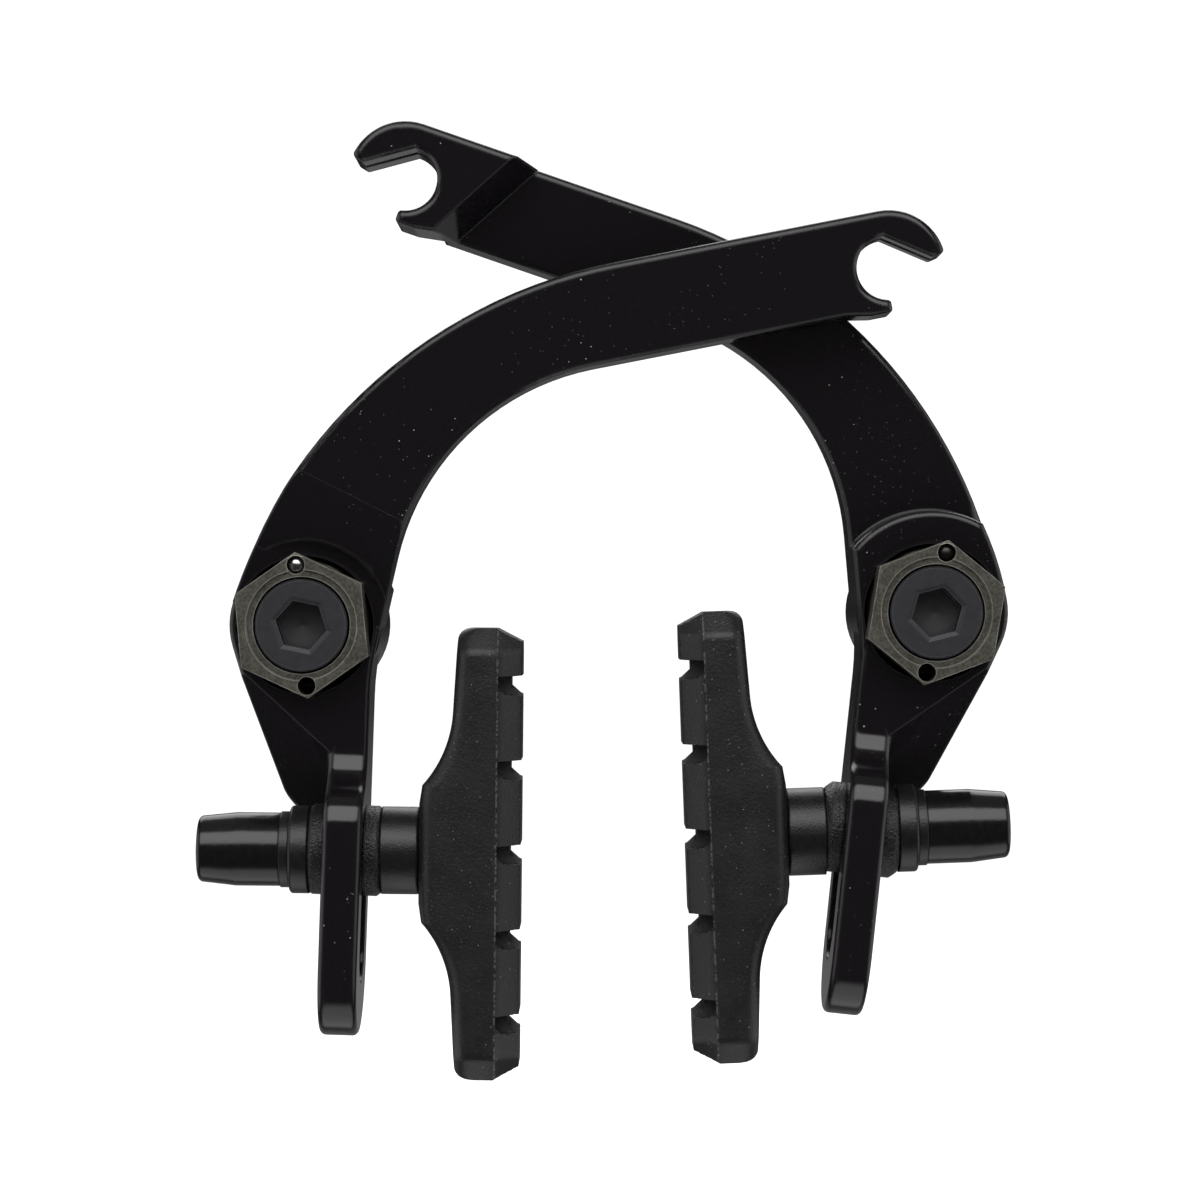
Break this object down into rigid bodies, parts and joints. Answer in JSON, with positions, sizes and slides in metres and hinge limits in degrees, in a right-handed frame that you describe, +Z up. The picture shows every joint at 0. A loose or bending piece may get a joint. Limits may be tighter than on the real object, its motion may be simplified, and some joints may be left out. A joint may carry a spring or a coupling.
{
  "type": "bicycle U-brake",
  "caption": "Bicycle U-brake with crossed black forged arms on sprung frame pivots, cable hooks at the top and rubber pads on adjustable posts.",
  "frame": {"origin": "midway between the two pivot axes, on the plane where the arms meet the frame's studs", "axes": "X across the bicycle, to the right as seen from the front of the brake; +Y into the frame along both pivots; +Z up to the cable"},
  "size_m": [0.091, 0.024, 0.1065],
  "materials": {
    "arm": "gloss black over forged aluminium",
    "bolt": "black oxide, matte",
    "bush": "plain bearing bronze",
    "tension_nut": "dark brown-black oxide with worn edges",
    "spring": "bright drawn wire",
    "washer": "satin black",
    "cup": "satin black",
    "barrel_nut": "gloss black",
    "post": "black, threaded",
    "pad": "matte moulded rubber"
  },
  "bodies": {
    "frame_hardware": {"left_pivot_bolt": "bolt", "left_pivot_bush": "bush", "right_pivot_bolt": "bolt", "right_pivot_bush": "bush"},
    "left_nut": {"left_tension_nut": "tension_nut"},
    "left_arm": {"front_arm": "arm", "left_return_spring": "spring"},
    "left_ball_seat": {"left_inner_ball_washer": "washer", "left_outer_ball_washer": "washer"},
    "left_cups": {"left_spacer_cup": "cup", "left_outer_cup": "cup", "left_flat_washer": "washer"},
    "left_pad": {"left_pad_post": "post", "left_barrel_nut": "barrel_nut", "left_brake_pad": "pad"},
    "right_nut": {"right_tension_nut": "tension_nut"},
    "right_arm": {"rear_arm": "arm", "right_return_spring": "spring"},
    "right_ball_seat": {"right_inner_ball_washer": "washer", "right_outer_ball_washer": "washer"},
    "right_cups": {"right_spacer_cup": "cup", "right_outer_cup": "cup", "right_flat_washer": "washer"},
    "right_pad": {"right_pad_post": "post", "right_barrel_nut": "barrel_nut", "right_brake_pad": "pad"}
  },
  "joints": [
    {"name": "left_arm_swing", "type": "hinge", "parent": "frame_hardware", "child": "left_arm", "pos_m": [-0.035, 0, 0], "axis": [0, -1, 0], "range_deg": [-14, 6], "stiffness_Nm_per_rad": 1.2, "deforming": ["left_return_spring"]},
    {"name": "left_spring_tension", "type": "hinge", "parent": "frame_hardware", "child": "left_nut", "pos_m": [-0.035, 0, 0], "axis": [0, -1, 0], "range_deg": [-60, 60], "deforming": ["left_return_spring"]},
    {"name": "left_pad_height", "type": "slide", "parent": "left_arm", "child": "left_ball_seat", "axis": [-0.0541, 0, -0.9985], "range_m": [0, 0.011]},
    {"name": "left_pad_camber", "type": "hinge", "parent": "left_ball_seat", "child": "left_cups", "pos_m": [-0.03101, -0.01625, -0.02525], "axis": [0, -1, 0], "range_deg": [-11.3, 8.5]},
    {"name": "left_pad_twist", "type": "hinge", "parent": "left_cups", "child": "left_pad", "pos_m": [-0.03101, -0.01625, -0.02525], "axis": [0.9996, 0, -0.0297], "range_deg": [-90, 90]},
    {"name": "right_arm_swing", "type": "hinge", "parent": "frame_hardware", "child": "right_arm", "pos_m": [0.035, 0, 0], "axis": [0, 1, 0], "range_deg": [-15, 3], "stiffness_Nm_per_rad": 1.2, "deforming": ["right_return_spring"]},
    {"name": "right_spring_tension", "type": "hinge", "parent": "frame_hardware", "child": "right_nut", "pos_m": [0.035, 0, 0], "axis": [0, -1, 0], "range_deg": [-60, 60], "deforming": ["right_return_spring"]},
    {"name": "right_pad_height", "type": "slide", "parent": "right_arm", "child": "right_ball_seat", "axis": [-0.1253, 0, -0.9921], "range_m": [0, 0.011]},
    {"name": "right_pad_camber", "type": "hinge", "parent": "right_ball_seat", "child": "right_cups", "pos_m": [0.02656, -0.01625, -0.02413], "axis": [0, -1, 0], "range_deg": [-18, 1.8]},
    {"name": "right_pad_twist", "type": "hinge", "parent": "right_cups", "child": "right_pad", "pos_m": [0.02656, -0.01625, -0.02413], "axis": [-0.9999, 0, -0.0157], "range_deg": [-90, 90]}
  ]
}
